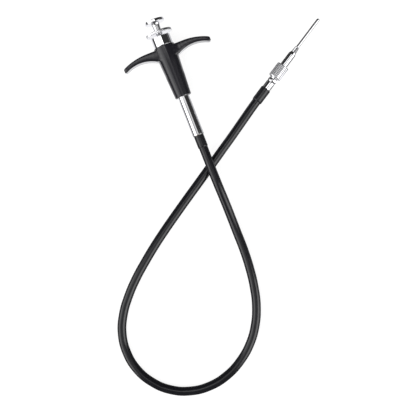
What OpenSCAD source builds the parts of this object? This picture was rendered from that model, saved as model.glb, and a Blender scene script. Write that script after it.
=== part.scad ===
// Cable shutter release with a disc lock, lying on a flat surface.
// Millimetres. The handle lies along Y with its thumb button towards +Y, the
// surface is Z = 0, and the origin is under the middle of the handle. The
// plunger is drawn pressed and locked, so the release pin stands out.

/* [Grip] */
// Length of the moulded grip along the handle
grip_len = 28.2; // [24:0.1:34]
// Diameter of the grip where the collar sits
grip_top_d = 11.4; // [10.8:0.1:12.4]
// Diameter of the grip at its lower end
grip_end_d = 8.8; // [8:0.1:10.4]
// Length of the straight part above the taper
grip_straight = 6.5; // [4:0.1:12]
// Span over both finger wings
wing_span = 48.1; // [40:0.1:60]
// Depth of a wing where it leaves the grip
wing_root_depth = 7.6; // [5:0.1:9]
// Depth of a wing at its end
wing_tip_depth = 6.6; // [4:0.1:7.5]
// Drop from the grip's top to the highest point of a wing
wing_drop = 1; // [0.6:0.1:2]
// Thickness of a wing at its thinnest
wing_thickness = 3.3; // [2.2:0.1:4]
// Radius of the long upper curve of a wing
wing_top_r = 31; // [28:1:60]
// Radius of the hollow under a wing
wing_under_r = 17; // [16:1:30]
// Radius of the fillet between a wing and the grip
wing_fillet_r = 2.4; // [2:0.1:4.5]

/* [Button and plunger] */
// Diameter of the thumb button
button_d = 10.6; // [8:0.1:14]
// Thickness of the thumb button's disc
button_t = 1.55; // [1:0.05:3]
// Height of the flare under the thumb button
button_flare = 1.7; // [0.3:0.1:2.5]
// Diameter of the flare where it meets the disc
button_flare_d = 5; // [4.6:0.1:7]
// Length of the button's stem below the flare
button_stem = 3.2; // [2:0.05:6]
// Diameter of the button's stem and of the lock disc's hub
stem_d = 3.7; // [3.6:0.1:4.4]
// Diameter of the plunger rod
rod_d = 3; // [2.4:0.1:3.1]
// Travel of the plunger and of the release pin
travel = 17.5; // [10:0.5:18]
// Length of the brass piston on the rod
piston_len = 3; // [2:0.1:4]

/* [Disc lock] */
// Diameter of the lock disc over its knurl
disc_d = 14; // [12:0.1:18]
// Thickness of the lock disc
disc_t = 1.4; // [1:0.1:2.5]
// Number of knurl ridges round the lock disc
disc_ridges = 60; // [24:2:80]
// Depth of the knurl on the lock disc
disc_knurl = 0.3; // [0.1:0.05:0.5]
// Travel of the lock disc when it is pressed
disc_travel = 0.8; // [0.5:0.1:0.9]
// Gap between the lock disc and the collar
disc_gap = 1.3; // [1.2:0.1:3]
// Diameter of the chrome collar
collar_d = 10.6; // [10:0.1:12]
// Height of the chrome collar
collar_h = 5.3; // [5.2:0.1:8]
// Thickness of the collar's top wall
collar_top = 1; // [0.8:0.1:1.2]
// Diameter of the collar's threaded spigot
spigot_d = 8; // [7.6:0.1:8.4]
// Length of the collar's threaded spigot
spigot_len = 3.2; // [2.5:0.1:5]
// Bore of the spigot
spigot_bore = 6.6; // [6.2:0.1:6.8]
// Diameter of the canted clamp washer
washer_d = 7.8; // [7.2:0.1:8]
// Thickness of the clamp washer
washer_t = 0.8; // [0.5:0.1:0.9]
// Angle at which the clamp washer grips the rod
washer_tilt = 8; // [5:0.5:8]

/* [Barrel] */
// Outer diameter of the chrome barrel tube
barrel_d = 6.1; // [6:0.1:6.4]
// Bore of the barrel tube
barrel_bore = 5; // [4.9:0.1:5.2]
// Length of barrel that shows below the grip
barrel_show = 21.8; // [18:0.1:30]
// Thickness of the stop bush's flange
bush_flange = 0.8; // [0.5:0.1:1.5]
// Length of the stop bush inside the barrel
bush_len = 3; // [2:0.1:4]
// Length of the spring seat inside the barrel
seat_len = 3.5; // [2.5:0.1:5]
// Length of the spring seat's tail below the barrel
seat_tail = 2; // [1:0.1:3]
// Wire diameter of the return spring
spring_wire = 0.5; // [0.3:0.05:0.55]
// Turns of the return spring
spring_turns = 20; // [14:1:24]
// Wire diameter of the lock spring
lock_wire = 0.4; // [0.25:0.05:0.45]
// Turns of the lock spring
lock_turns = 4; // [3:1:5]

/* [Cable] */
// Outer diameter of the cable's plastic jacket
cable_d = 4.7; // [4:0.1:4.8]
// Bore of the jacket
jacket_bore = 3.2; // [3.1:0.1:3.4]
// Outer diameter of the steel conduit in the jacket
conduit_d = 2.8; // [2.6:0.1:2.9]
// Bore of the conduit
conduit_bore = 1.8; // [1.7:0.1:2]
// Diameter of the core wire
wire_d = 1.3; // [1:0.1:1.4]
// Outer diameter of the sleeve at the handle
sleeve_d = 5.3; // [5.1:0.1:6]
// Length of the sleeve at the handle
sleeve_len = 6.7; // [5:0.1:10]
// Outer diameter of the sleeve at the tip
tip_sleeve_d = 5.4; // [5.1:0.1:6]
// Length of cable inside the sleeve at the tip
tip_sleeve_grip = 5.3; // [3:0.1:8]

/* [Tip] */
// Diameter of the tip ferrule
ferrule_d = 4.6; // [4.2:0.1:4.7]
// Length of ferrule inside the sleeve
ferrule_tail = 3; // [2:0.1:5]
// Length of ferrule that shows
ferrule_show = 4.1; // [2:0.1:8]
// Diameter of the journal that the nut turns on
journal_d = 2.9; // [2.8:0.1:3]
// Length of the nut's rear bush
rear_bush_len = 4; // [3:0.1:6]
// Length of rear bush that shows behind the knurl
rear_bush_show = 3; // [1.5:0.1:3.4]
// Thickness of the ring riveted on the journal
ring_t = 0.7; // [0.5:0.1:1.2]
// Outer diameter of that ring
ring_d = 3.9; // [3.6:0.1:3.9]
// Diameter of the knurled collar
knurl_d = 7; // [6:0.1:9]
// Length of the knurled collar
knurl_len = 7.9; // [6:0.1:12]
// Number of ridges round the knurled collar
knurl_ridges = 36; // [24:2:48]
// Depth of the knurl on the collar
knurl_depth = 0.22; // [0.1:0.02:0.4]
// Diameter of the nipple inside the knurled collar
nipple_seat_d = 4.6; // [4.5:0.1:5]
// Diameter of the nipple's neck
neck_d = 4; // [3.6:0.1:4.4]
// Length of the neck
neck_len = 7.7; // [5:0.1:12]
// Length of the cone between the neck and the thread
neck_cone = 1.2; // [0.6:0.1:2]
// Diameter of the taper thread at its root end
thread_root_d = 2.9; // [2.8:0.1:3.4]
// Diameter of the taper thread at its free end
thread_end_d = 2.3; // [2.2:0.1:2.7]
// Length of the taper thread
thread_len = 3.5; // [2.5:0.5:6]
// Pitch of the taper thread
thread_pitch = 0.5; // [0.35:0.05:0.7]
// Diameter of the release pin
pin_d = 1.6; // [1.2:0.1:1.7]
// Step in radius from the pin down to the shank inside the nipple
pin_step = 0.2; // [0.2:0.05:0.3]
// Length of pin that stands out when the plunger is pressed
pin_show = 18.8; // [18.1:0.1:24]
// Diameter of the socket that joins the pin to the core wire
socket_d = 2.1; // [1.9:0.1:2.1]
// Length of that socket
socket_len = 3; // [2:0.1:5]
// Length of pin held in the socket
socket_hold = 1.5; // [1:0.1:1.8]

/* [Fits] */
// Radial clearance of a piece that slides or turns
run_gap = 0.05; // [0.03:0.01:0.08]
// Radial clearance of a piece that is pressed, screwed or bonded in
seat_gap = 0.02; // [0.01:0.01:0.03]
// End clearance where a moving piece meets a stop
stop_gap = 0.05; // [0.02:0.01:0.1]

/* [Hidden] */
$fn = 48;

chrome = [0.86, 0.86, 0.88];
brass = [0.78, 0.62, 0.32];
spring_steel = [0.55, 0.56, 0.58];
pin_steel = [0.72, 0.72, 0.74];
black_plastic = [0.07, 0.07, 0.08];
black_rubber = [0.05, 0.05, 0.055];

// Route of the cable's centreline, from its end in the handle's sleeve, over
// its own tip end, round the loop on the table and into the tip's sleeve.
cable_points = [
    [0, -30.9, 7], [0, -36, 7], [0, -43, 7.2], [0, -50, 7.2], [0.1, -57.8, 6.6],
    [0.3, -65.8, 5.1], [0.4, -74.8, 3.4], [0.4, -83.8, 2.5], [0.4, -93.7, 2.4],
    [-0.2, -103.7, 2.4], [-1.6, -113.8, 2.4], [-4.2, -123.9, 2.4], [-8.5, -133.2, 2.4],
    [-14.6, -141.3, 2.4], [-22.6, -147.9, 2.4], [-32.2, -152.6, 2.4], [-42.6, -154.5, 2.4],
    [-53.1, -153.2, 2.4], [-62.7, -148.7, 2.4], [-70.3, -141.4, 2.4], [-75.3, -132.2, 2.4],
    [-77.1, -121.9, 2.4], [-75.7, -111.6, 2.4], [-71.4, -102.4, 2.4], [-65.3, -94.4, 2.4],
    [-58.2, -87.2, 2.4], [-50.5, -80.7, 2.4], [-42.4, -74.4, 2.4], [-34.1, -68.5, 2.4],
    [-25.6, -62.8, 2.4], [-17.2, -57.3, 2.4], [-8.8, -51.9, 2.4], [-0.5, -46.5, 2.4],
    [7.6, -41.2, 2.4], [15.6, -36, 2.4], [23.7, -30.6, 2.8], [31.6, -25.3, 3.5],
    [35.55, -22.8, 3.5], [39.6, -20.3, 3.5]];
cable_end = cable_points[len(cable_points) - 1];
cable_near_end = cable_points[len(cable_points) - 2];
cable_sides = 10;
wire_sides = 8;

// Heights along the handle, from the grip's top face
disc_low = collar_h + disc_gap;
disc_high = disc_low + disc_t;
stem_low = disc_high + stop_gap;
flare_low = stem_low + button_stem;
button_low = flare_low + button_flare;
button_high = button_low + button_t;
rod_high = button_low + button_t / 2;
barrel_low = -grip_len - barrel_show;
sleeve_low = barrel_low - sleeve_len;
counterbore = spigot_len + bush_flange;
bush_low = -counterbore - bush_len;
piston_high = bush_low - stop_gap - travel;
piston_low = piston_high - piston_len;
seat_high = barrel_low + seat_len;
seat_low = barrel_low - seat_tail;
cavity_low = 0.5;
cavity_high = collar_h - collar_top;

// Placing of the handle: its box is centred on the origin, and the lock
// disc's rim rests on the table
axis_height = disc_d / 2;
grip_top_y = -(button_high + sleeve_low) / 2;

// The clamp washer turns on its edge, one washer radius from the rod
washer_r = washer_d / 2;
washer_mid = cavity_low + washer_t / 2 + 2 * stop_gap;
washer_bore = rod_d + 0.3;
hub_r = stem_d / 2;
hub_low = washer_mid + (washer_r + hub_r) * sin(washer_tilt)
          + washer_t / 2 * cos(washer_tilt) + stop_gap;
clip_t = 0.5;
clip_wall = 0.95;

// Distances along the tip, from the cable's end face
sleeve_front = ferrule_tail;
ferrule_front = ferrule_tail + ferrule_show;
bush_rear = ferrule_front + 2 * stop_gap;
knurl_rear = bush_rear + rear_bush_show;
nipple_rear = bush_rear + rear_bush_len;
journal_front = nipple_rear + 2 * stop_gap + ring_t;
knurl_front = knurl_rear + knurl_len;
neck_front = knurl_front + neck_len;
thread_rear = neck_front + neck_cone;
thread_front = thread_rear + thread_len;
pin_front = thread_front + pin_show;
pin_shoulder = thread_front + 2 * stop_gap;
pin_shank_d = pin_d - 2 * pin_step;
socket_front = thread_rear;
socket_rear = socket_front - socket_len;
socket_bore = socket_d + 2 * run_gap;
tip_angle = atan2(cable_end[1] - cable_near_end[1], cable_end[0] - cable_near_end[0]);

// ---- placing ----

// Stands a piece drawn along +Z on the handle's axis, at heights from the grip's top
module on_handle() {
    translate([0, grip_top_y, axis_height]) rotate([-90, 0, 0]) children();
}

// Lays a piece drawn along +Z on the tip's axis, at distances from the cable's end
module on_tip() {
    translate([cable_end[0], cable_end[1], knurl_d / 2])
        rotate([0, 0, tip_angle]) rotate([0, 90, 0]) children();
}

// ---- shared shapes ----

// A round bar from one height to another
module bar(d, low, high) {
    translate([0, 0, low]) cylinder(h = high - low, d = d);
}

// A tube from one height to another
module tube(d, bore, low, high) {
    difference() {
        bar(d, low, high);
        bar(bore, low - 1, high + 1);
    }
}

// Outline of a round bar with straight ridges
module ridged_outline(d, depth, ridges) {
    step = 360 / ridges;
    polygon([for (i = [0:ridges - 1], k = [0:2])
        let (a = i * step + [-0.2, 0.2, 0.5][k] * step, r = d / 2 - [0, 0, 1][k] * depth)
        [r * sin(a), -r * cos(a)]]);
}

// Triangles between two neighbouring rings of a sweep
function between_rings(first, sides, rings, flip) = [
    for (i = [0:rings - 2], j = [0:sides - 1], half = [0:1])
        let (a = first + i * sides + j, b = first + i * sides + (j + 1) % sides,
             c = a + sides, d = b + sides,
             face = half == 0 ? [a, b, d] : [a, d, c])
        flip ? [face[2], face[1], face[0]] : face];

// Direction of a path at one of its points
function along(path, i) =
    let (d = path[min(i + 1, len(path) - 1)] - path[max(i - 1, 0)]) d / norm(d);

// A ring of points round a path, with one point straight above it
function ring_points(path, i, r, sides) =
    let (t = along(path, i), side = cross([0, 0, 1], t), s = side / norm(side), up = cross(t, s))
    [for (j = [0:sides - 1]) let (a = 360 * j / sides) path[i] + r * (cos(a) * up - sin(a) * s)];

// All rings of one wall of a sweep
function wall_points(path, r, sides) =
    [for (i = [0:len(path) - 1], p = ring_points(path, i, r, sides)) p];

// A solid wire along a path
module swept_wire(path, d, sides) {
    rings = len(path);
    polyhedron(
        points = wall_points(path, d / 2, sides),
        faces = concat(
            between_rings(0, sides, rings, true),
            [[for (j = [0:sides - 1]) j]],
            [[for (j = [0:sides - 1]) rings * sides - 1 - j]]));
}

// A hollow cable along a path
module swept_tube(path, d, bore, sides) {
    rings = len(path);
    inner = rings * sides;
    last = (rings - 1) * sides;
    polyhedron(
        points = concat(wall_points(path, d / 2, sides), wall_points(path, bore / 2, sides)),
        faces = concat(
            between_rings(0, sides, rings, true),
            between_rings(inner, sides, rings, false),
            [for (j = [0:sides - 1], half = [0:1])
                let (k = (j + 1) % sides)
                half == 0 ? [j, k, inner + k] : [j, inner + k, inner + j]],
            [for (j = [0:sides - 1], half = [0:1])
                let (k = (j + 1) % sides, a = last + j, b = last + k)
                half == 0 ? [a, inner + b, b] : [a, inner + a, inner + b]]));
}

// A coil spring standing on the Z axis
module coil(r, wire, low, high, turns) {
    steps = 12;
    sides = 6;
    rings = turns * steps + 1;
    rise = (high - low - wire) / (turns * steps);
    points = [for (i = [0:rings - 1], j = [0:sides - 1])
        let (a = 360 * i / steps, b = 360 * j / sides, q = r + wire / 2 * cos(b))
        [q * cos(a), q * sin(a), low + wire / 2 + i * rise + wire / 2 * sin(b)]];
    polyhedron(
        points = points,
        faces = concat(
            between_rings(0, sides, rings, true),
            [[for (j = [0:sides - 1]) j]],
            [[for (j = [0:sides - 1]) rings * sides - 1 - j]]));
}

// ---- plunger ----

// Thumb button: a disc with a flared hub and a hollow stem for the rod
module thumb_button() {
    edge = 0.35;
    dish = 0.15;
    color(chrome) on_handle() difference() {
        rotate_extrude() polygon([
            [0, stem_low], [hub_r, stem_low], [hub_r, flare_low],
            [button_flare_d / 2, button_low], [button_d / 2 - edge, button_low],
            [button_d / 2, button_low + edge], [button_d / 2, button_high - edge],
            [button_d / 2 - edge, button_high], [0, button_high]]);
        bar(rod_d + 2 * seat_gap, stem_low - 1, rod_high);
        translate([0, 0, button_high - dish]) cylinder(h = 1, d1 = button_d * 0.6, d2 = button_d);
    }
}

// Plunger rod: from the button through the lock down to the piston
module plunger_rod() {
    color(chrome) on_handle() bar(rod_d, piston_low + piston_len / 3, rod_high);
}

// Brass piston pressed on the rod's lower end, with a socket for the core wire
module plunger_piston() {
    color(brass) on_handle() difference() {
        bar(barrel_bore - 2 * run_gap, piston_low, piston_high);
        bar(rod_d + 2 * seat_gap, piston_low + piston_len / 3, piston_high + 1);
    }
}

// ---- disc lock ----

// Knurled lock disc with the hub sleeve that runs down beside the rod
module lock_disc() {
    color(chrome) on_handle() difference() {
        union() {
            translate([0, 0, disc_low]) linear_extrude(disc_t)
                ridged_outline(disc_d, disc_knurl, disc_ridges);
            bar(stem_d, hub_low, disc_low + disc_t / 2);
        }
        bar(rod_d + 2 * run_gap, hub_low - 1, disc_high + 1);
    }
}

// Clip on the hub sleeve that keeps the lock disc in the collar
module lock_clip() {
    clip_high = cavity_high - stop_gap;
    color(spring_steel) on_handle()
        tube(stem_d + 2 * clip_wall, stem_d + 2 * seat_gap, clip_high - clip_t, clip_high);
}

// Canted washer that bites the rod until the lock disc levels it
module clamp_washer() {
    color(spring_steel) on_handle()
        translate([0, -washer_r, washer_mid]) rotate([washer_tilt, 0, 0])
            translate([0, washer_r, 0])
                tube(washer_d, washer_bore, -washer_t / 2, washer_t / 2);
}

// Light coil spring under the clamp washer
module lock_spring() {
    spring_r = (spigot_bore - lock_wire) / 2 - 3 * run_gap;
    color(spring_steel) on_handle()
        coil(spring_r, lock_wire, -spigot_len, cavity_low, lock_turns);
}

// Chrome collar that screws into the grip and houses the lock
module lock_collar() {
    wall = 1;
    edge = 0.2;
    color(chrome) on_handle() difference() {
        rotate_extrude() polygon([
            [0, -spigot_len], [spigot_d / 2, -spigot_len], [spigot_d / 2, 0],
            [collar_d / 2, 0], [collar_d / 2, collar_h - edge],
            [collar_d / 2 - edge, collar_h], [0, collar_h]]);
        bar(spigot_bore, -spigot_len - 1, cavity_low + 0.1);
        bar(collar_d - 2 * wall, cavity_low, cavity_high);
        bar(stem_d + 2 * run_gap, cavity_high - 1, collar_h + 1);
    }
}

// ---- handle ----

// Bush that guides the rod and stops the piston at the top of its stroke
module stop_bush() {
    color(brass) on_handle() difference() {
        union() {
            bar(spigot_d - 0.1, -counterbore, -spigot_len);
            bar(barrel_bore - 2 * seat_gap, bush_low, -counterbore);
        }
        bar(rod_d + 2 * run_gap, bush_low - 1, 0);
    }
}

// Depth below the highest point of a wing's upper edge, at x from the axis
function upper_drop(x) =
    let (crest = wing_span * 0.22, d = max(x - crest, 0)) wing_top_r - sqrt(wing_top_r ^ 2 - d ^ 2);

// Depth below the same point of a wing's hollow underside
function under_drop(x) =
    let (hollow = wing_span * 0.316, d = x - hollow)
    wing_thickness + wing_under_r - sqrt(wing_under_r ^ 2 - d ^ 2);

// Front outline of one wing, with a fillet into the grip and a round end
module wing_outline() {
    end_x = wing_span / 2;
    end_r = (under_drop(end_x) - upper_drop(end_x)) / 2;
    end_y = (under_drop(end_x - end_r) + upper_drop(end_x - end_r)) / 2;
    root_x = grip_top_d / 2 - 0.25;
    fillet_x = root_x + wing_fillet_r;
    fillet_y = under_drop(fillet_x) + wing_fillet_r;
    polygon(concat(
        [[0, 0]],
        [for (i = [0:12]) let (x = (end_x - end_r) * i / 12) [x, -upper_drop(x)]],
        [for (a = [70:-20:-70]) [end_x - end_r + end_r * cos(a), -end_y + end_r * sin(a)]],
        [for (i = [0:10])
            let (x = end_x - end_r + (fillet_x - end_x + end_r) * i / 10) [x, -under_drop(x)]],
        [for (a = [105:15:180])
            [fillet_x + wing_fillet_r * cos(a), -fillet_y + wing_fillet_r * sin(a)]],
        [[0, -fillet_y]]));
}

// Both wings seen from the button end, narrower towards their round ends
module wing_plan() {
    end_x = wing_span / 2;
    end_r = 2;
    for (side = [0, 1]) mirror([side, 0, 0])
        polygon(concat(
            [[0, -wing_root_depth / 2], [grip_top_d / 2, -wing_root_depth / 2]],
            [for (a = [-90:15:0])
                [end_x - end_r + end_r * cos(a), -wing_tip_depth / 2 + end_r + end_r * sin(a)]],
            [for (a = [0:15:90])
                [end_x - end_r + end_r * cos(a), wing_tip_depth / 2 - end_r + end_r * sin(a)]],
            [[grip_top_d / 2, wing_root_depth / 2], [0, wing_root_depth / 2]]));
}

// Moulded grip: a tapered body with two finger wings
module grip() {
    edge = 0.35;
    color(black_plastic) on_handle() difference() {
        union() {
            rotate_extrude() polygon([
                [0, -grip_len], [grip_end_d / 2 - edge, -grip_len],
                [grip_end_d / 2, -grip_len + edge], [grip_top_d / 2, -grip_straight],
                [grip_top_d / 2, -edge], [grip_top_d / 2 - edge, 0], [0, 0]]);
            intersection() {
                for (side = [0, 1]) mirror([side, 0, 0])
                    translate([0, wing_root_depth, -wing_drop]) rotate([90, 0, 0])
                        linear_extrude(2 * wing_root_depth) wing_outline();
                translate([0, 0, -grip_len]) linear_extrude(grip_len) wing_plan();
            }
        }
        bar(spigot_d + 2 * seat_gap, -counterbore, 1);
        bar(barrel_d + 2 * seat_gap, -grip_len - 1, -counterbore + 0.1);
    }
}

// Chrome barrel tube through the grip
module barrel_tube() {
    color(chrome) on_handle() tube(barrel_d, barrel_bore, barrel_low, -counterbore);
}

// Coil spring that lifts the plunger when it is unlocked
module return_spring() {
    spring_r = (barrel_bore - spring_wire) / 2 - 2 * run_gap;
    color(spring_steel) on_handle()
        coil(spring_r, spring_wire, seat_high, piston_low, spring_turns);
}

// Brass plug that closes the barrel, carries the spring and takes the cable's end
module spring_seat() {
    color(brass) on_handle() difference() {
        union() {
            bar(barrel_bore - 2 * seat_gap, barrel_low, seat_high);
            bar(cable_d, seat_low, barrel_low);
        }
        bar(wire_d + 6 * run_gap, seat_low - 1, seat_high + 1);
    }
}

// Rubber sleeve over the joint between the barrel and the cable
module handle_sleeve() {
    color(black_rubber) on_handle()
        tube(sleeve_d, cable_d + 2 * run_gap, sleeve_low, barrel_low);
}

// ---- cable ----

// Plastic jacket
module cable_jacket() {
    color(black_plastic) swept_tube(cable_points, cable_d, jacket_bore, cable_sides);
}

// Steel conduit that takes the push of the core wire
module cable_conduit() {
    color(spring_steel) swept_tube(cable_points, conduit_d, conduit_bore, wire_sides);
}

// Core wire from the piston to the pin's socket
module core_wire() {
    tip_reach = socket_rear * [cos(tip_angle), sin(tip_angle), 0];
    wire_path = concat(
        [[0, grip_top_y + piston_low, axis_height]], cable_points, [cable_end + tip_reach]);
    color(spring_steel) swept_wire(wire_path, wire_d, wire_sides);
}

// ---- tip ----

// Rubber sleeve over the joint between the cable and the ferrule
module tip_sleeve() {
    color(black_rubber) on_tip()
        tube(tip_sleeve_d, cable_d + 2 * run_gap, -tip_sleeve_grip, sleeve_front);
}

// Chrome ferrule with the journal for the nut
module tip_ferrule() {
    color(chrome) on_tip() difference() {
        union() {
            bar(ferrule_d, 0, ferrule_front);
            bar(journal_d, 0, journal_front);
        }
        bar(socket_bore, -1, journal_front + 1);
    }
}

// Ring riveted on the journal's end, which holds the nut on
module ferrule_ring() {
    color(brass) on_tip()
        tube(ring_d, journal_d + 2 * seat_gap, journal_front - ring_t, journal_front);
}

// Rear bush of the nut, which turns on the journal
module nut_rear_bush() {
    chamfer = 0.5;
    seat_r = nipple_seat_d / 2;
    color(chrome) on_tip() difference() {
        rotate_extrude() polygon([
            [0, bush_rear], [seat_r - chamfer, bush_rear], [seat_r, bush_rear + chamfer],
            [seat_r, nipple_rear], [0, nipple_rear]]);
        bar(journal_d + 2 * run_gap, bush_rear - 1, nipple_rear + 1);
    }
}

// Knurled collar that fingers turn
module knurled_collar() {
    color(chrome) on_tip() difference() {
        translate([0, 0, knurl_rear]) linear_extrude(knurl_len)
            rotate(90) ridged_outline(knurl_d, knurl_depth, knurl_ridges);
        bar(nipple_seat_d + 2 * seat_gap, knurl_rear - 1, knurl_front + 1);
    }
}

// Nipple: a smooth neck and the taper thread that screws into a camera
module tip_nipple() {
    crest = 0.14;
    turns = floor(thread_len / thread_pitch);
    ring_room = ring_d + 4 * run_gap;
    function thread_r(z) =
        (thread_root_d + (thread_end_d - thread_root_d) * (z - thread_rear) / thread_len) / 2;
    color(chrome) on_tip() difference() {
        rotate_extrude() polygon(concat(
            [[0, nipple_rear], [nipple_seat_d / 2, nipple_rear], [nipple_seat_d / 2, knurl_front],
             [neck_d / 2, knurl_front], [neck_d / 2, neck_front],
             [thread_r(thread_rear), thread_rear]],
            [for (i = [0:turns - 1], k = [0:1])
                let (z = thread_rear + (i + 0.5 + k / 2) * thread_pitch)
                [thread_r(z) - (1 - k) * crest, z]],
            [[thread_r(thread_front) - crest, thread_front], [0, thread_front]]));
        bar(ring_room, nipple_rear - 1, journal_front + 2 * stop_gap);
        bar(socket_bore, nipple_rear, socket_front + stop_gap);
        bar(pin_d + 2 * run_gap, nipple_rear, thread_front + 1);
    }
}

// Steel pin that presses the camera's release, with a thinner shank in the nipple
module release_pin() {
    round_end = 0.5;
    shank_r = pin_shank_d / 2;
    color(pin_steel) on_tip() rotate_extrude() polygon([
        [0, socket_front - socket_hold], [shank_r, socket_front - socket_hold],
        [shank_r, pin_shoulder], [pin_d / 2, pin_shoulder],
        [pin_d / 2, pin_front - round_end], [pin_d / 2 - 0.15, pin_front - 0.15],
        [pin_d / 2 - round_end, pin_front], [0, pin_front]]);
}

// Brass socket that joins the pin to the core wire
module pin_socket() {
    color(brass) on_tip() difference() {
        bar(socket_d, socket_rear, socket_front);
        bar(pin_shank_d + 2 * seat_gap, socket_front - socket_hold, socket_front + 1);
    }
}

thumb_button();
plunger_rod();
plunger_piston();
lock_disc();
lock_clip();
clamp_washer();
lock_spring();
lock_collar();
stop_bush();
grip();
barrel_tube();
return_spring();
spring_seat();
handle_sleeve();
cable_jacket();
cable_conduit();
core_wire();
tip_sleeve();
tip_ferrule();
ferrule_ring();
nut_rear_bush();
knurled_collar();
tip_nipple();
release_pin();
pin_socket();
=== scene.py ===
"""A cable shutter release with a disc lock, lying on a white table."""
import math

import bmesh
import bpy
from mathutils import Matrix, Vector


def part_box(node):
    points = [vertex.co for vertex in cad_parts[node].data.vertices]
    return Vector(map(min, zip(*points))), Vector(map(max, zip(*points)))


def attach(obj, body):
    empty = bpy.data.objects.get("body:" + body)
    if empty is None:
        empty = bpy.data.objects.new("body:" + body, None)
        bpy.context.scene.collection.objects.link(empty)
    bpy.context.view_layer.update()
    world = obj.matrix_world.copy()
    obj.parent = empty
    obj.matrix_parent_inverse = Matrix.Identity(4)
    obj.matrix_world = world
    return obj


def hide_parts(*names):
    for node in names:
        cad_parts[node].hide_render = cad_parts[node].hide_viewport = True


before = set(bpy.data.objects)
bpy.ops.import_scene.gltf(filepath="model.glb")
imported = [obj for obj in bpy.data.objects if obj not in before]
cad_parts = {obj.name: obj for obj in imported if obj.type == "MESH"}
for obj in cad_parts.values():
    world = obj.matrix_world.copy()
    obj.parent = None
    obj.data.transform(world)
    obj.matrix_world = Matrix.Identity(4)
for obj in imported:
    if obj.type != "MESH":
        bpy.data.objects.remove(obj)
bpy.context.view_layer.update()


# ---- Camera ----
# It looks straight down at the table, a little below the handle, and is turned
# so that the handle leans to the left.

MM = 0.001
CAMERA_TURN = math.radians(-21.28)
CAMERA_PLACE = Vector((-9.25, -66.27, 492)) * MM

camera_data = bpy.data.cameras.new("camera")
camera_data.lens = 80
camera_data.sensor_width = 36
camera_data.clip_start = 0.01
camera_data.clip_end = 20
camera = bpy.data.objects.new("camera", camera_data)
camera.location = CAMERA_PLACE
camera.rotation_euler = (0, 0, CAMERA_TURN)
bpy.context.collection.objects.link(camera)
bpy.context.scene.camera = camera
bpy.context.scene.view_settings.view_transform = "Standard"


# ---- Studio ----
# A white table in a dim room, with a soft box overhead and one on each side of the
# handle, a small panel beyond it and a black flag that gives the chrome a dark edge.
# All but the key light are parts of the sky, placed by the direction they lie in.


class Wire:
    """One output of a shader node, which patterns add, multiply and compare."""

    def __init__(self, tree, node, output=0):
        self.tree = tree
        self.node = node
        self.socket = node.outputs[output] if node.outputs else None

    def get(self, output):
        return Wire(self.tree, self.node, output)

    def maths(self, operation, first, second=0.0):
        node = add_node(self.tree, "ShaderNodeMath", {"operation": operation})
        connect(self.tree, node.node.inputs[0], first)
        connect(self.tree, node.node.inputs[1], second)
        return node

    def __add__(self, other):
        return self.maths("ADD", self, other)

    def __radd__(self, other):
        return self.maths("ADD", other, self)

    def __sub__(self, other):
        return self.maths("SUBTRACT", self, other)

    def __rsub__(self, other):
        return self.maths("SUBTRACT", other, self)

    def __mul__(self, other):
        return self.maths("MULTIPLY", self, other)

    def __rmul__(self, other):
        return self.maths("MULTIPLY", other, self)

    def root(self):
        return self.maths("SQRT", self.maths("MAXIMUM", self, 0.0))

    def bearing(self, other):
        """The angle from this side towards the other."""
        return self.maths("ARCTAN2", other, self)

    def between(self, low, high, from_value=0.0, to_value=1.0):
        """Goes smoothly from one value to another as this wire goes from low to high."""
        return add_node(self.tree, "ShaderNodeMapRange", {"interpolation_type": "SMOOTHSTEP"},
                        Value=self, From_Min=low, From_Max=high, To_Min=from_value,
                        To_Max=to_value)

    def window(self, low, high, soft):
        """1 from low to high and 0 outside, with soft edges."""
        rise = self.between(low - soft, low + soft)
        return rise * self.between(high - soft, high + soft, 1.0, 0.0)


def connect(tree, socket, value):
    if isinstance(value, Wire):
        tree.links.new(value.socket, socket)
    elif value is not None:
        socket.default_value = value


def add_node(tree, kind, settings=None, **values):
    node = tree.nodes.new(kind)
    for name, value in (settings or {}).items():
        setattr(node, name, value)
    for name, value in values.items():
        connect(tree, node.inputs[name.replace("_", " ")], value)
    return Wire(tree, node)


def empty_tree(owner):
    owner.use_nodes = True
    owner.node_tree.nodes.clear()
    return owner.node_tree


world = bpy.data.worlds.new("studio")
bpy.context.scene.world = world
sky = empty_tree(world)
direction = add_node(sky, "ShaderNodeTexCoord").get("Generated")
split = add_node(sky, "ShaderNodeSeparateXYZ", Vector=direction)
east, north, height = split.get("X"), split.get("Y"), split.get("Z")
across = east * math.cos(CAMERA_TURN) + north * math.sin(CAMERA_TURN)
ahead = north * math.cos(CAMERA_TURN) - east * math.sin(CAMERA_TURN)
off_zenith = (1 - height * height).root()
from_right = across.bearing(ahead)
from_left = (-1 * across).bearing(ahead)

ROOM = 0.08
FLAG_DEPTH = 0.045
OVERHEAD_LEVEL = 0.92
PANEL_LEVEL = 2.0

flag = from_right.window(math.radians(22), math.radians(150), 0.05)
flag = flag * height.window(0.07, 0.966, 0.02)

# The overhead box ends on the right of the handle, and its middle is dimmed.
overhead = off_zenith.between(0.34, 0.50, 1.0, 0.0) * ahead.between(-0.25, 0.02)
overhead = overhead * across.between(0.09, 0.17, 1.0, 0.0)
overhead = overhead * (1 - east.between(0.05, 0.12) * north.between(0.15, 0.175))
over_tube = north.window(-0.04, 0.122, 0.012) * east.between(-0.50, -0.42)
hollow = over_tube * (0.36 + 0.52 * east.between(-0.30, -0.12, 1.0, 0.0))
overhead = overhead * (1 - hollow * across.between(0.0, 0.06, 1.0, 0.4))

panel = across.window(-0.25, 0.04, 0.03) * ahead.window(0.15, 0.30, 0.012)
panel = panel * north.between(0.20, 0.24, 1.0, 0.25)

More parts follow.
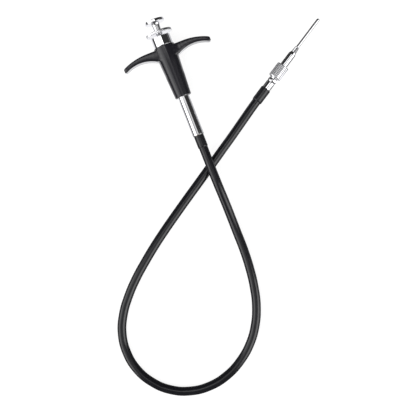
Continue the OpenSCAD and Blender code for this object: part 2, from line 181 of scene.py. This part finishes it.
# The left box is brightest half way up and fades towards its top.
left_box = height.between(0.02, 0.15) + height.between(0.03, 0.44, 0.0, 1.8)
left_box = left_box - height.between(0.44, 0.70, 0.0, 1.2) - height.between(0.70, 0.93, 0.0, 0.85)
left_box = left_box - height.between(0.93, 0.985, 0.0, 0.6)
left_box = left_box * from_left.window(math.radians(-48), math.radians(23), 0.09)
left_box = left_box * (1 - 0.8 * over_tube)

# The right box stands lower, with a second one over it and two weak fill lights.
right_box = height.between(0.05, 0.50, 1.0, 3.0) * height.between(0.70, 0.85, 1.0, 0.0)
right_box = right_box * from_right.window(math.radians(-44), math.radians(8), 0.09)
right_top = height.window(0.74, 0.955, 0.03)
right_top = right_top * from_right.window(math.radians(-50), math.radians(-8), 0.09)
grip_fill = east.window(0.12, 0.80, 0.05) * north.between(0.0, 0.035, 0.42, 0.12)
grip_fill = grip_fill * north.between(-0.06, -0.03) * north.between(0.045, 0.055, 1.0, 0.0)
sleeve_fill = 0.6 * east.window(0.45, 0.88, 0.04) * north.window(0.050, 0.070, 0.003)

light = ROOM - FLAG_DEPTH * flag + OVERHEAD_LEVEL * overhead + PANEL_LEVEL * panel + left_box
light = light + right_box + right_top + grip_fill + sleeve_fill
seen = add_node(sky, "ShaderNodeLightPath").get("Is Camera Ray")
background = add_node(sky, "ShaderNodeBackground", Color=(1, 1, 1, 1),
                      Strength=seen + light * (1 - seen))
add_node(sky, "ShaderNodeOutputWorld", Surface=background)

key_data = bpy.data.lights.new("key", "AREA")
key_data.shape = "SQUARE"
key_data.size = 0.5
key_data.energy = 2.6
key = bpy.data.objects.new("key", key_data)
key.location = (-0.45, -0.25, 0.75)
key.rotation_euler = (-Vector(key.location)).to_track_quat("-Z", "Y").to_euler()
key.visible_glossy = False
bpy.context.collection.objects.link(key)

table_bm = bmesh.new()
bmesh.ops.create_circle(table_bm, cap_ends=True, segments=64, radius=3.0)
table_mesh = bpy.data.meshes.new("table")
table_bm.to_mesh(table_mesh)
table_bm.free()
table = bpy.data.objects.new("table", table_mesh)
bpy.context.collection.objects.link(table)

table_white = bpy.data.materials.new("table_white")
tree = empty_tree(table_white)
path = add_node(tree, "ShaderNodeLightPath")
spot = add_node(tree, "ShaderNodeSeparateXYZ",
                Vector=add_node(tree, "ShaderNodeTexCoord").get("Object"))
spot_x, spot_y = spot.get("X"), spot.get("Y")
reach = path.get("Ray Length")

# Painted reflections: what the chrome mirrors of the table is an emission seen only by glossy rays,
# its level set by ray length and place.
# It paints the table's own shade close by, white paper farther off, and dark standing for the room
# behind the paper's end.
mirrored_level = 0.35 + 0.60 * reach.between(0.0035, 0.0065)
mirrored_level = mirrored_level - 0.89 * reach.between(0.020, 0.026)
mirrored_level = mirrored_level * spot_y.between(-0.010, -0.006, 0.65, 1.0)
mirrored_level = mirrored_level * spot_y.between(-0.031, -0.027, 0.35, 1.0)
# Painted reflection level: the table right of the grip is set to a fixed grey.
right_of_grip = spot_x.window(0.010, 0.030, 0.002)
mirrored_level = mirrored_level * (1 - right_of_grip) + 0.6 * right_of_grip

# Round the tip the mirrored table is painted too: painted shade on both sides, deeper on the far one,
# and a painted bright strip by the knurl.
by_tip = spot_x.between(0.030, 0.036)
along_tip = spot_x * 0.851 + spot_y * 0.525
past_tip = spot_y * 0.851 - spot_x * 0.525
tip_level = 0.10 + 0.20 * reach.between(0.0065, 0.0090)
tip_level = tip_level + 1.3 * along_tip.window(0.0322, 0.0420, 0.0006)
tip_level = tip_level * (1.0 - 0.88 * past_tip.between(-0.040, -0.036))
mirrored_level = mirrored_level * (1 - by_tip) + by_tip * tip_level

# Painted light: the table under the wings is brightened for reflections only, so the wings' hollow
# undersides mirror white, and under the discs it is set to full white.
under_wings = spot_y.window(0.006, 0.020, 0.001)
under_wings = under_wings * (spot_x * spot_x).window(0.000036, 0.00065, 0.00001)
mirrored_level = mirrored_level + 0.85 * under_wings
under_discs = spot_y.window(0.0235, 0.040, 0.0005)
under_discs = under_discs * (spot_x * spot_x).between(0.00008, 0.00012, 1.0, 0.0)
mirrored_level = mirrored_level * (1 - under_discs) + under_discs

paper = add_node(tree, "ShaderNodeBsdfDiffuse", Color=(0.93, 0.93, 0.93, 1))
shaded = add_node(tree, "ShaderNodeBsdfDiffuse", Color=(0.22, 0.22, 0.22, 1))
white = add_node(tree, "ShaderNodeEmission", Color=(1, 1, 1, 1), Strength=0.89)
mirrored = add_node(tree, "ShaderNodeEmission", Color=(0.98, 0.98, 1, 1), Strength=mirrored_level)
plain = add_node(tree, "ShaderNodeAddShader")
connect(tree, plain.node.inputs[0], shaded)
connect(tree, plain.node.inputs[1], white)
by_ray = add_node(tree, "ShaderNodeMixShader", Fac=path.get("Is Camera Ray"))
connect(tree, by_ray.node.inputs[1], paper)
connect(tree, by_ray.node.inputs[2], plain)
surface = add_node(tree, "ShaderNodeMixShader", Fac=path.get("Is Glossy Ray"))
connect(tree, surface.node.inputs[1], by_ray)
connect(tree, surface.node.inputs[2], mirrored)
add_node(tree, "ShaderNodeOutputMaterial", Surface=surface)
table_mesh.materials.append(table_white)


# ---- Cable ----
# An extruded black plastic jacket over a steel conduit. It leaves the handle level,
# goes over its own tip end, down to the table and round one loop.

CABLE_D = 4.7
CABLE_POINTS = [
    (0, -30.9, 7), (0, -36, 7), (0, -43, 7.2), (0, -50, 7.2), (0.1, -57.8, 6.6),
    (0.3, -65.8, 5.1), (0.4, -74.8, 3.4), (0.4, -83.8, 2.5), (0.4, -93.7, 2.4),
    (-0.2, -103.7, 2.4), (-1.6, -113.8, 2.4), (-4.2, -123.9, 2.4), (-8.5, -133.2, 2.4),
    (-14.6, -141.3, 2.4), (-22.6, -147.9, 2.4), (-32.2, -152.6, 2.4), (-42.6, -154.5, 2.4),
    (-53.1, -153.2, 2.4), (-62.7, -148.7, 2.4), (-70.3, -141.4, 2.4), (-75.3, -132.2, 2.4),
    (-77.1, -121.9, 2.4), (-75.7, -111.6, 2.4), (-71.4, -102.4, 2.4), (-65.3, -94.4, 2.4),
    (-58.2, -87.2, 2.4), (-50.5, -80.7, 2.4), (-42.4, -74.4, 2.4), (-34.1, -68.5, 2.4),
    (-25.6, -62.8, 2.4), (-17.2, -57.3, 2.4), (-8.8, -51.9, 2.4), (-0.5, -46.5, 2.4),
    (7.6, -41.2, 2.4), (15.6, -36, 2.4), (23.7, -30.6, 2.8), (31.6, -25.3, 3.5),
    (35.55, -22.8, 3.5), (39.6, -20.3, 3.5)]


def material(name):
    made = bpy.data.materials.new(name)
    return made, empty_tree(made)


def surface_of(tree, color, roughness, **more):
    shader = add_node(tree, "ShaderNodeBsdfPrincipled", Base_Color=color, Roughness=roughness, **more)
    add_node(tree, "ShaderNodeOutputMaterial", Surface=shader)
    return shader


def grain(tree, scale, detail=3.0, stretch=(1, 1, 1)):
    """Noise in the object's own metres; stretch lengthens or shortens its grains."""
    where = add_node(tree, "ShaderNodeTexCoord").get("Object")
    placed = add_node(tree, "ShaderNodeMapping", Vector=where, Scale=stretch)
    return add_node(tree, "ShaderNodeTexNoise", Vector=placed, Scale=scale, Detail=detail)


def bump(tree, height, distance, strength=1.0):
    return add_node(tree, "ShaderNodeBump", Height=height, Distance=distance, Strength=strength)


def tint(tree, mask, low, high):
    mix = add_node(tree, "ShaderNodeMix", {"data_type": "RGBA"})
    connect(tree, mix.node.inputs[0], mask)
    connect(tree, mix.node.inputs[6], low)
    connect(tree, mix.node.inputs[7], high)
    return mix.get(2)


cable_black, tree = material("cable_black")
streaks = grain(tree, 260)
skin = grain(tree, 1500, 4.0)
surface_of(tree, tint(tree, streaks, (0.006, 0.006, 0.008, 1), (0.012, 0.012, 0.015, 1)),
           0.12 + 0.08 * skin, IOR=1.5,
           Normal=bump(tree, skin + 2 * streaks, 0.03 * MM, 0.4))

cable_curve = bpy.data.curves.new("cable", "CURVE")
cable_curve.dimensions = "3D"
cable_curve.resolution_u = 10
cable_curve.bevel_depth = CABLE_D / 2 * MM
cable_curve.bevel_resolution = 10
cable_curve.use_fill_caps = True
spline = cable_curve.splines.new("BEZIER")
spline.bezier_points.add(len(CABLE_POINTS) - 1)
for knot, point in zip(spline.bezier_points, CABLE_POINTS):
    knot.co = [c * MM for c in point]
    knot.handle_left_type = "AUTO"
    knot.handle_right_type = "AUTO"
cable_curve.materials.append(cable_black)
cable = bpy.data.objects.new("cable", cable_curve)
bpy.context.collection.objects.link(cable)
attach(cable, "handle")
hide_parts("cable_jacket")


# ---- Thumb button ----
# Turned from brass and chromed: a shallow dished disc, a flared hub and a hollow
# stem that the plunger rod is screwed into.

AXIS_Z = (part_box("barrel_tube")[0].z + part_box("barrel_tube")[1].z) / 2
GRIP_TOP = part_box("grip")[1].y
HANDLE = Matrix.Translation((0, GRIP_TOP, AXIS_Z)) @ Matrix.Rotation(math.radians(-90), 4, "X")
BUTTON_R = 5.3
BUTTON_LOW = 12.95
BUTTON_HIGH = 14.5
STEM_LOW = 8.05
ROD_R = 1.5


def stayed(profile, near=0.45):
    """Adds a corner near both ends of each long run, which keeps its shading straight."""
    full = [profile[0]]
    for (r0, h0), (r1, h1) in zip(profile, profile[1:]):
        run = math.hypot(r1 - r0, h1 - h0)
        if run > 3 * near:
            for part in (near / run, 1 - near / run):
                full.append((r0 + (r1 - r0) * part, h0 + (h1 - h0) * part))
        full.append((r1, h1))
    return full


def turned(profile, place, steps=128):
    """Spins a profile of (radius, height) corners in mm round its axis."""
    bm = bmesh.new()
    corners = [bm.verts.new((r * MM, 0, h * MM)) for r, h in stayed(profile)]
    edges = [bm.edges.new(pair) for pair in zip(corners, corners[1:])]
    bmesh.ops.spin(bm, geom=corners + edges, cent=(0, 0, 0), axis=(0, 0, 1),
                   angle=math.tau, steps=steps, use_merge=True)
    bmesh.ops.remove_doubles(bm, verts=bm.verts, dist=1e-7)
    bmesh.ops.recalc_face_normals(bm, faces=bm.faces)
    bmesh.ops.transform(bm, matrix=place, verts=bm.verts)
    return bm


def ease(bm, width, segments=3, angle=25):
    """Rounds every edge that is sharper than an angle."""
    sharp = [e for e in bm.edges if e.is_manifold and e.calc_face_angle(0) > math.radians(angle)]
    bmesh.ops.bevel(bm, geom=sharp, offset=width * MM, offset_type="OFFSET", segments=segments,
                    profile=0.5, affect="EDGES", clamp_overlap=True, material=-1)


SMOOTH_BELOW = math.radians(38)


def piece(name, bm, made_of, body, slot, *nodes):
    """Makes an object of a mesh, with its material, its body and the nodes it stands for."""
    mesh = bpy.data.meshes.new(name)
    bm.to_mesh(mesh)
    bm.free()
    mesh.shade_smooth()
    mesh.set_sharp_from_angle(angle=SMOOTH_BELOW)
    mesh.materials.append(made_of)
    made = bpy.data.objects.new(name, mesh)
    bpy.context.collection.objects.link(made)
    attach(made, body)
    if nodes:
        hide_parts(*nodes)
    return made


def chrome_plate(name, color=(0.90, 0.90, 0.92, 1), roughness=0.035, haze=0.05):
    """Bright chrome with faint polishing haze and a slightly wavy surface."""
    made, tree = material(name)
    cloud = grain(tree, 420, 4.0)
    wipe = grain(tree, 900, 3.0, (1, 0.15, 1))
    surface_of(tree, tint(tree, cloud, color, [c * 0.96 for c in color[:3]] + [1]),
               roughness + haze * cloud * wipe, Metallic=1.0,
               Normal=bump(tree, cloud, 0.012 * MM, 0.35))
    return made


chrome = chrome_plate("chrome")

button = turned([(0, 14.0), (ROD_R + 0.02, 14.0), (ROD_R + 0.02, STEM_LOW), (1.8, STEM_LOW),
                 (2.12, 11.0), (2.2, 11.8), (2.4, 12.5), (2.75, BUTTON_LOW),
                 (BUTTON_R, BUTTON_LOW), (BUTTON_R, BUTTON_HIGH), (4.55, BUTTON_HIGH),
                 (4.3, 14.35), (0, 14.3)], HANDLE)
ease(button, 0.2)
thumb_button = piece("thumb_button_turned", button, chrome, "plunger", "chrome", "thumb_button")


# ---- Plunger rod ----
# Ground steel rod, chromed and screwed into the button's stem. It runs through the
# lock and the bush, and carries the piston on its lower end.

ROD_LOW, ROD_HIGH = -26.6, 13.7

rod = turned([(0, ROD_LOW), (ROD_R, ROD_LOW), (ROD_R, ROD_HIGH), (0, ROD_HIGH)], HANDLE)
ease(rod, 0.1)
plunger_rod = piece("plunger_rod_ground", rod, chrome, "plunger", "chrome", "plunger_rod")


# ---- Lock disc ----
# A chromed disc with a straight knurl on its rim, raised faces inside the rim and
# a hub sleeve that runs into the collar.

DISC_R = (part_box("lock_disc")[1].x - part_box("lock_disc")[0].x) / 2 / MM
DISC_RIDGES = 60
DISC_KNURL = 0.14
DISC_LOW, DISC_HIGH = 6.6, 8.0


def band(bm, upper, lower):
    """Joins two rings of as many corners with a band of faces."""
    for i, vert in enumerate(upper):
        bm.faces.new((upper[i - 1], vert, lower[i], lower[i - 1]))


def ridged_disc(radius, depth, ridges, low, high, bore, place, steps_per_ridge=6):
    """A flat ring whose rim carries straight ridges with rounded crests."""
    bm = bmesh.new()
    count = ridges * steps_per_ridge
    ring = bmesh.ops.create_circle(bm, cap_ends=False, segments=count, radius=radius * MM)["verts"]
    inner = bmesh.ops.create_circle(bm, cap_ends=False, segments=count, radius=bore * MM)["verts"]
    for i, vert in enumerate(ring):
        phase = (i % steps_per_ridge) / steps_per_ridge
        drop = math.cos(math.pi * (phase - 0.5))
        vert.co *= (radius - depth * (1 - drop)) / radius
    band(bm, ring, inner)
    bottom = list(bm.faces)
    top = bmesh.ops.extrude_face_region(bm, geom=bottom)["geom"]
    lifted = [g for g in top if isinstance(g, bmesh.types.BMVert)]
    bmesh.ops.translate(bm, verts=lifted, vec=(0, 0, (high - low) * MM))
    bmesh.ops.translate(bm, verts=list(bm.verts), vec=(0, 0, low * MM))
    bmesh.ops.recalc_face_normals(bm, faces=bm.faces)
    bmesh.ops.transform(bm, matrix=place, verts=bm.verts)
    return bm


def joined(*parts):
    """Puts several closed shells in one mesh."""
    bm = bmesh.new()
    for part in parts:
        mesh = bpy.data.meshes.new("part")
        part.to_mesh(mesh)
        part.free()
        bm.from_mesh(mesh)
        bpy.data.meshes.remove(mesh)
    return bm


knurled_chrome = chrome_plate("knurled_chrome", (0.86, 0.86, 0.88, 1), 0.06, 0.08)

rim = ridged_disc(DISC_R, DISC_KNURL, DISC_RIDGES, DISC_LOW, DISC_HIGH, 5.9, HANDLE)
ease(rim, 0.1, 2, 50)
hub = turned([(1.55, 2.25), (1.85, 2.25), (1.85, DISC_LOW - 0.1), (2.1, DISC_LOW + 0.15),
              (5.95, DISC_LOW + 0.15), (5.95, DISC_HIGH - 0.15), (2.6, DISC_HIGH - 0.15),
              (2.3, DISC_HIGH), (1.55, DISC_HIGH), (1.55, 2.25)], HANDLE)
ease(hub, 0.08)
lock_disc = piece("lock_disc_knurled", joined(rim, hub), knurled_chrome, "lock_ring",
                  "knurled_chrome", "lock_disc")


# ---- Lock collar ----
# A chromed brass cap with a spigot screwed into the grip. It is turned hollow for the
# lock, with a hole on top for the disc's hub.

COLLAR_H = 5.3
collar = turned([(1.9, COLLAR_H), (5.3, COLLAR_H), (5.3, 0), (4.0, 0), (4.0, -3.2), (3.3, -3.2),
                 (3.3, 0.5), (4.3, 0.5), (4.3, COLLAR_H - 1), (1.9, COLLAR_H - 1),
                 (1.9, COLLAR_H)], HANDLE)
ease(collar, 0.14)
lock_collar = piece("lock_collar_turned", collar, chrome, "handle", "chrome", "lock_collar")


# ---- Grip ----
# Injection moulded in gloss black: a round tapered body with two finger wings that
# grow out of it in one piece. The wings are hollow below, where the fingers pull.

BODY_SIDES = 16
SWELL = 3 / (2 + math.cos(math.tau / BODY_SIDES))
BODY_RINGS = ((5.7, 0), (5.7, -0.4), (5.7, -1.0), (5.7, -2.6), (5.66, -5.0), (5.61, -6.9),
              (5.55, -8.8), (5.33, -12.5), (5.0, -17.5), (4.69, -22.5), (4.43, -26.8),
              (4.38, -27.8), (4.35, -28.2))
BORE_RINGS = ((3.1, -28.2), (3.06, -27.9), (3.06, -4.0), (4.03, -4.0), (4.03, -0.1), (4.1, 0))
WING_DROP = 1.0
WING_THICKNESS = 3.3
WING_TOP_R, WING_CREST = 31, 10.4
WING_UNDER_R, WING_HOLLOW = 17, 15
WING_ROWS = (0.0, 0.30, 0.74, 1.0)
WING_LEAN = (0.14, 0.0, 0.0, 0.42)
WING_COLUMNS = (-1.0, -0.75, 0.0, 0.75, 1.0)
WING_ROOT_IN, WING_ROOT_R = 3.8, 4.9
WING_ROOT_DEPTH = 3.9
WING_ROOT_HIGH, WING_ROOT_LOW = -1.0, -6.9
WING_FLAT_END = 23.4
WING_END_EASE = 0.78
WING_STATIONS = (6.2, 7.6, 9.4, 11.6, 14.0, 16.6, 19.2, 21.3, 23.0, 24.05)


def wing_top(x):
    """Height of the wing's upper edge, x mm out from the axis."""
    out = max(x - WING_CREST, 0)
    return -WING_DROP - (WING_TOP_R - math.sqrt(WING_TOP_R ** 2 - out ** 2))


def wing_under(x):
    """Height of the hollow underside."""
    out = x - WING_HOLLOW
    hollow = WING_UNDER_R - math.sqrt(WING_UNDER_R ** 2 - out ** 2)
    return -WING_DROP - WING_THICKNESS - hollow


def wing_depth(x):
    """Half the depth of the wing."""
    return 3.85 - 0.5 * (x - 5) / 18


bm = bmesh.new()
rows = []
for radius, h in BODY_RINGS + BORE_RINGS:
    ring = bmesh.ops.create_circle(bm, cap_ends=False, segments=BODY_SIDES,
                                   radius=radius * SWELL * MM)["verts"]
    bmesh.ops.translate(bm, verts=ring, vec=(0, 0, h * MM))
    rows.append(ring)
for upper, lower in zip(rows, rows[1:] + rows[:1]):
    band(bm, upper, lower)
bmesh.ops.recalc_face_normals(bm, faces=bm.faces)
for side in (1, -1):
    wing_faces = [f for f in bm.faces
                  if side * f.calc_center_median().x > WING_ROOT_IN * MM
                  and abs(f.calc_center_median().y) < WING_ROOT_DEPTH * MM
                  and WING_ROOT_LOW * MM < f.calc_center_median().z < WING_ROOT_HIGH * MM
                  and f.calc_center_median().xy.length > WING_ROOT_R * MM]
    heights = sorted({round(v.co.z / MM, 3) for f in wing_faces for v in f.verts}, reverse=True)
    depths = sorted({round(v.co.y / MM) for f in wing_faces for v in f.verts})
    keys = {v: (depths.index(round(v.co.y / MM)), heights.index(round(v.co.z / MM, 3)))
            for f in wing_faces for v in f.verts}
    for x in WING_STATIONS:
        grown = bmesh.ops.extrude_face_region(bm, geom=wing_faces)["geom"]
        bmesh.ops.delete(bm, geom=wing_faces, context="FACES_ONLY")
        wing_faces = [g for g in grown if isinstance(g, bmesh.types.BMFace)]
        fresh = {}
        for vert in [g for g in grown if isinstance(g, bmesh.types.BMVert)]:
            old = min(keys, key=lambda v: (v.co - vert.co).length)
            column, row = keys[old]
            end = WING_END_EASE if x == WING_STATIONS[-1] else 1.0
            flat_x = min(x, WING_FLAT_END)
            top, under = wing_top(flat_x), wing_under(flat_x)
            middle = (top + under) / 2
            h = middle + (top - middle) * end * (1 - 2 * WING_ROWS[row])
            depth = wing_depth(x) - WING_LEAN[row]
            fresh[vert] = (column, row, Vector((side * x * MM,
                           WING_COLUMNS[column] * depth * end * MM, h * MM)))
        for vert, (column, row, place) in fresh.items():
            vert.co = place
        keys = {vert: (column, row) for vert, (column, row, place) in fresh.items()}
bmesh.ops.recalc_face_normals(bm, faces=bm.faces)
bmesh.ops.transform(bm, matrix=HANDLE, verts=bm.verts)

grip_black, tree = material("grip_black")
flow = grain(tree, 180, 2.0)
dust = grain(tree, 2600, 4.0)
surface_of(tree, tint(tree, flow, (0.0135, 0.0132, 0.0170, 1), (0.0175, 0.0172, 0.0215, 1)),
           0.11 + 0.08 * dust, IOR=1.5, Normal=bump(tree, flow + 0.3 * dust, 0.02 * MM, 0.4))
grip = piece("grip_moulded", bm, grip_black, "handle", "grip_black", "grip")
grip.data.set_sharp_from_angle(angle=math.pi)
smooth = grip.modifiers.new("smooth", "SUBSURF")
smooth.levels = 3
smooth.render_levels = 3


# ---- Barrel tube ----
# Drawn brass tube, chromed, that the grip is pressed on. The black sleeve below it
# hides the plug that holds the cable's end.

TUBE_R = 3.05
TUBE_LOW = -50
tube = turned([(TUBE_R, TUBE_LOW), (TUBE_R, -4), (2.5, -4), (2.5, TUBE_LOW), (TUBE_R, TUBE_LOW)],
              HANDLE)
ease(tube, 0.12)
barrel_tube = piece("barrel_tube_drawn", tube, chrome, "handle", "chrome", "barrel_tube")


# ---- Handle sleeve ----
# Black plastic sleeve shrunk over the joint of the barrel and the cable, with a thin
# lip where it ends on the cable.

SLEEVE_BORE = CABLE_D / 2 + 0.04

sleeve_black, tree = material("sleeve_black")
skin = grain(tree, 900, 4.0)
folds = grain(tree, 300, 2.0)
surface_of(tree, tint(tree, folds, (0.010, 0.010, 0.012, 1), (0.017, 0.017, 0.020, 1)),
           0.16 + 0.10 * skin, IOR=1.48, Normal=bump(tree, skin + folds, 0.03 * MM, 0.5))

sleeve = turned([(SLEEVE_BORE, -56.7), (2.52, -56.7), (2.63, -56.3), (2.65, -55.9),
                 (2.65, TUBE_LOW - 0.05), (SLEEVE_BORE, TUBE_LOW - 0.05),
                 (SLEEVE_BORE, -56.7)], HANDLE)
ease(sleeve, 0.08)
handle_sleeve = piece("handle_sleeve_shrunk", sleeve, sleeve_black, "handle", "sleeve_black",
                      "handle_sleeve")


# ---- Tip sleeve ----
# The same kind of sleeve, a little thicker, shrunk over the joint of the cable and
# the tip's ferrule.

TIP_END, TIP_START = Vector(CABLE_POINTS[-1]), Vector(CABLE_POINTS[-2])
TIP_WAY = (TIP_END - TIP_START).normalized()
TIP = (Matrix.Translation(TIP_END * MM) @ Matrix.Rotation(math.atan2(TIP_WAY.y, TIP_WAY.x), 4, "Z")
       @ Matrix.Rotation(math.radians(90), 4, "Y"))

sleeve = turned([(SLEEVE_BORE, -5.3), (2.54, -5.3), (2.67, -4.9), (2.7, -4.5), (2.7, 2.6),
                 (2.62, 3.0), (SLEEVE_BORE, 3.0), (SLEEVE_BORE, -5.3)], TIP)
ease(sleeve, 0.08)
tip_sleeve = piece("tip_sleeve_shrunk", sleeve, sleeve_black, "handle", "sleeve_black", "tip_sleeve")


# ---- Tip ferrule ----
# Turned brass ferrule, chromed and crimped on the cable's end. Its thin front part
# is the journal that the nut turns on.

FERRULE_R = 2.3
FERRULE_FRONT = 7.1
ferrule = turned([(1.1, 0), (FERRULE_R, 0), (FERRULE_R, FERRULE_FRONT), (1.45, FERRULE_FRONT),
                  (1.45, 12), (1.1, 12), (1.1, 0)], TIP)
ease(ferrule, 0.12)
tip_ferrule = piece("tip_ferrule_turned", ferrule, chrome, "handle", "chrome", "tip_ferrule")


# ---- Nut rear bush ----
# The chromed shoulder at the back of the nut, rounded towards the ferrule, with a
# fine groove before the knurled collar that it is pressed in.

shoulder = turned([(1.5, 7.2), (1.95, 7.2), (2.15, 7.45), (2.3, 7.85), (2.36, 8.4), (2.32, 9.0),
                   (2.18, 9.5), (2.05, 9.75), (2.05, 9.95), (2.3, 10.0), (2.3, 11.2), (1.5, 11.2),
                   (1.5, 7.2)], TIP)
ease(shoulder, 0.08)
nut_rear_bush = piece("nut_rear_bush_turned", shoulder, chrome, "tip_nut", "chrome",
                      "nut_rear_bush")


# ---- Knurled collar ----
# Chromed brass ring that fingers turn to screw the tip into a camera. Its checkered
# knurl is cut in the mesh, and how deep each corner lies is kept for its colour: painted shade in the
# grooves.

KNURL_R = 3.5
KNURL_DEPTH = 0.16
KNURL_ROUND = 21
KNURL_ALONG = 8
KNURL_LOW, KNURL_HIGH = 10.2, 18.1
KNURL_EDGE = 0.35
KNURL_CHAMFER = 0.3
KNURL_BORE = 2.32
CUT_STEPS = 4


def saw(x):
    """Rises from 0 to 1 and falls back once in each whole number."""
    return 1 - abs(2 * (x - math.floor(x)) - 1)


knurl_rows = KNURL_ALONG * CUT_STEPS
knurl_length = KNURL_HIGH - KNURL_LOW - 2 * KNURL_EDGE
knurl_profile = [(KNURL_R, KNURL_LOW + KNURL_EDGE + knurl_length * i / knurl_rows)
                 for i in range(knurl_rows + 1)]
knurl = turned([(KNURL_BORE, KNURL_LOW), (KNURL_R - KNURL_CHAMFER, KNURL_LOW), *knurl_profile,
                (KNURL_R - KNURL_CHAMFER, KNURL_HIGH), (KNURL_BORE, KNURL_HIGH),
                (KNURL_BORE, KNURL_LOW)], Matrix.Identity(4), KNURL_ROUND * CUT_STEPS)
groove = knurl.verts.layers.float.new("groove")
for vert in knurl.verts:
    if vert.co.xy.length > (KNURL_R - 0.01) * MM:
        turn = math.atan2(vert.co.y, vert.co.x) / math.tau * KNURL_ROUND
        along = (vert.co.z / MM - KNURL_LOW - KNURL_EDGE) / knurl_length * KNURL_ALONG
        rise = min(saw(turn), saw(along))
        vert[groove] = 1 - rise
        vert.co.xy *= (KNURL_R - KNURL_DEPTH * (1 - rise)) * MM / vert.co.xy.length
bmesh.ops.transform(knurl, matrix=TIP, verts=knurl.verts)

checkered_chrome, tree = material("checkered_chrome")
in_groove = add_node(tree, "ShaderNodeAttribute", {"attribute_name": "groove"}).get("Fac")
# Painted shade: the colour goes from white to dark grey with cut depth, darker than the cuts shade
# alone; the same mask also roughens the grooves.
painted_groove_shade = in_groove.between(0.66, 0.90)
cloud = grain(tree, 700, 3.0)
surface_of(tree, tint(tree, painted_groove_shade, (0.98, 0.98, 1.0, 1), (0.18, 0.18, 0.20, 1)),
           0.10 + 0.10 * cloud + 0.25 * painted_groove_shade, Metallic=0.66)
knurled_collar = piece("knurled_collar_cut", knurl, checkered_chrome, "tip_nut", "knurled_chrome",
                       "knurled_collar")
knurled_collar.data.set_sharp_from_angle(angle=math.radians(20))


# ---- Nipple ----
# Chromed brass nipple with a smooth neck, a short cone and the fine taper thread.
# Its shank is pressed in the knurled collar, and the pin runs through its bore.

NECK_R = 1.9
THREAD_LOW, THREAD_HIGH = 27.0, 30.4
THREAD_PITCH = 0.5
THREAD_DEPTH = 0.15

thread_rows = 54
thread_profile = [(1.45 - 0.3 * i / thread_rows,
                   THREAD_LOW + (THREAD_HIGH - THREAD_LOW) * i / thread_rows)
                  for i in range(thread_rows + 1)]
nipple = turned([(1.1, 12.4), (2.05, 12.4), (2.05, 11.2), (2.3, 11.2), (2.3, KNURL_HIGH),
                 (NECK_R, KNURL_HIGH), (NECK_R, 25.8), *thread_profile, (1.0, 30.5),
                 (0.85, 30.5), (0.85, 27.05), (1.1, 27.05), (1.1, 12.4)], Matrix.Identity(4), 96)
for vert in nipple.verts:
    if THREAD_LOW * MM < vert.co.z < THREAD_HIGH * MM and vert.co.xy.length > 1.12 * MM:
        turn = vert.co.z / MM / THREAD_PITCH - math.atan2(vert.co.y, vert.co.x) / math.tau
        vert.co.xy *= 1 - THREAD_DEPTH * (1 - saw(turn)) * MM / vert.co.xy.length
bmesh.ops.transform(nipple, matrix=TIP, verts=nipple.verts)
nipple_chrome = chrome_plate("nipple_chrome", (0.88, 0.88, 0.90, 1), 0.05, 0.06)
tip_nipple = piece("tip_nipple_turned", nipple, nipple_chrome, "tip_nut", "chrome", "tip_nipple")


# ---- Release pin ----
# Drawn steel pin with a rounded end and a thinner shank in the nipple, soldered in a
# brass socket on the core wire.

PIN_R = 0.8
PIN_FRONT = 49.3

pin_steel, tree = material("pin_steel")
drawn = grain(tree, 1400, 3.0)
surface_of(tree, tint(tree, drawn, (0.70, 0.70, 0.72, 1), (0.82, 0.82, 0.84, 1)),
           0.12 + 0.12 * drawn, Metallic=1.0, Normal=bump(tree, drawn, 0.01 * MM, 0.4))

nose = [(PIN_R * math.cos(math.radians(a)), PIN_FRONT - 0.7 + 0.7 * math.sin(math.radians(a)))
        for a in range(0, 90, 15)]
pin = turned([(0, 25.5), (0.6, 25.5), (0.6, 30.6), (PIN_R, 30.6), *nose, (0, PIN_FRONT)], TIP)
release_pin = piece("release_pin_drawn", pin, pin_steel, "pin", "pin_steel", "release_pin")


# ---- Inner parts ----
# The parts inside the handle, the cable and the tip keep their CAD shape: turned
# brass and bright spring steel.

turned_brass, tree = material("turned_brass")
rings = grain(tree, 1800, 2.0)
surface_of(tree, tint(tree, rings, (0.60, 0.44, 0.18, 1), (0.74, 0.56, 0.26, 1)),
           0.22 + 0.12 * rings, Metallic=1.0, Normal=bump(tree, rings, 0.01 * MM, 0.4))
spring_steel, tree = material("spring_steel")
oil = grain(tree, 700, 3.0)
surface_of(tree, tint(tree, oil, (0.42, 0.43, 0.45, 1), (0.56, 0.57, 0.60, 1)),
           0.28 + 0.15 * oil, Metallic=1.0, Normal=bump(tree, oil, 0.01 * MM, 0.4))
inner_finishes = {
    "plunger_piston": turned_brass, "stop_bush": turned_brass, "spring_seat": turned_brass,
    "ferrule_ring": turned_brass, "pin_socket": turned_brass, "lock_clip": spring_steel,
    "clamp_washer": spring_steel, "lock_spring": spring_steel, "return_spring": spring_steel,
    "cable_conduit": spring_steel, "core_wire": spring_steel}
for node, made_of in inner_finishes.items():
    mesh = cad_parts[node].data
    mesh.materials.clear()
    mesh.materials.append(made_of)
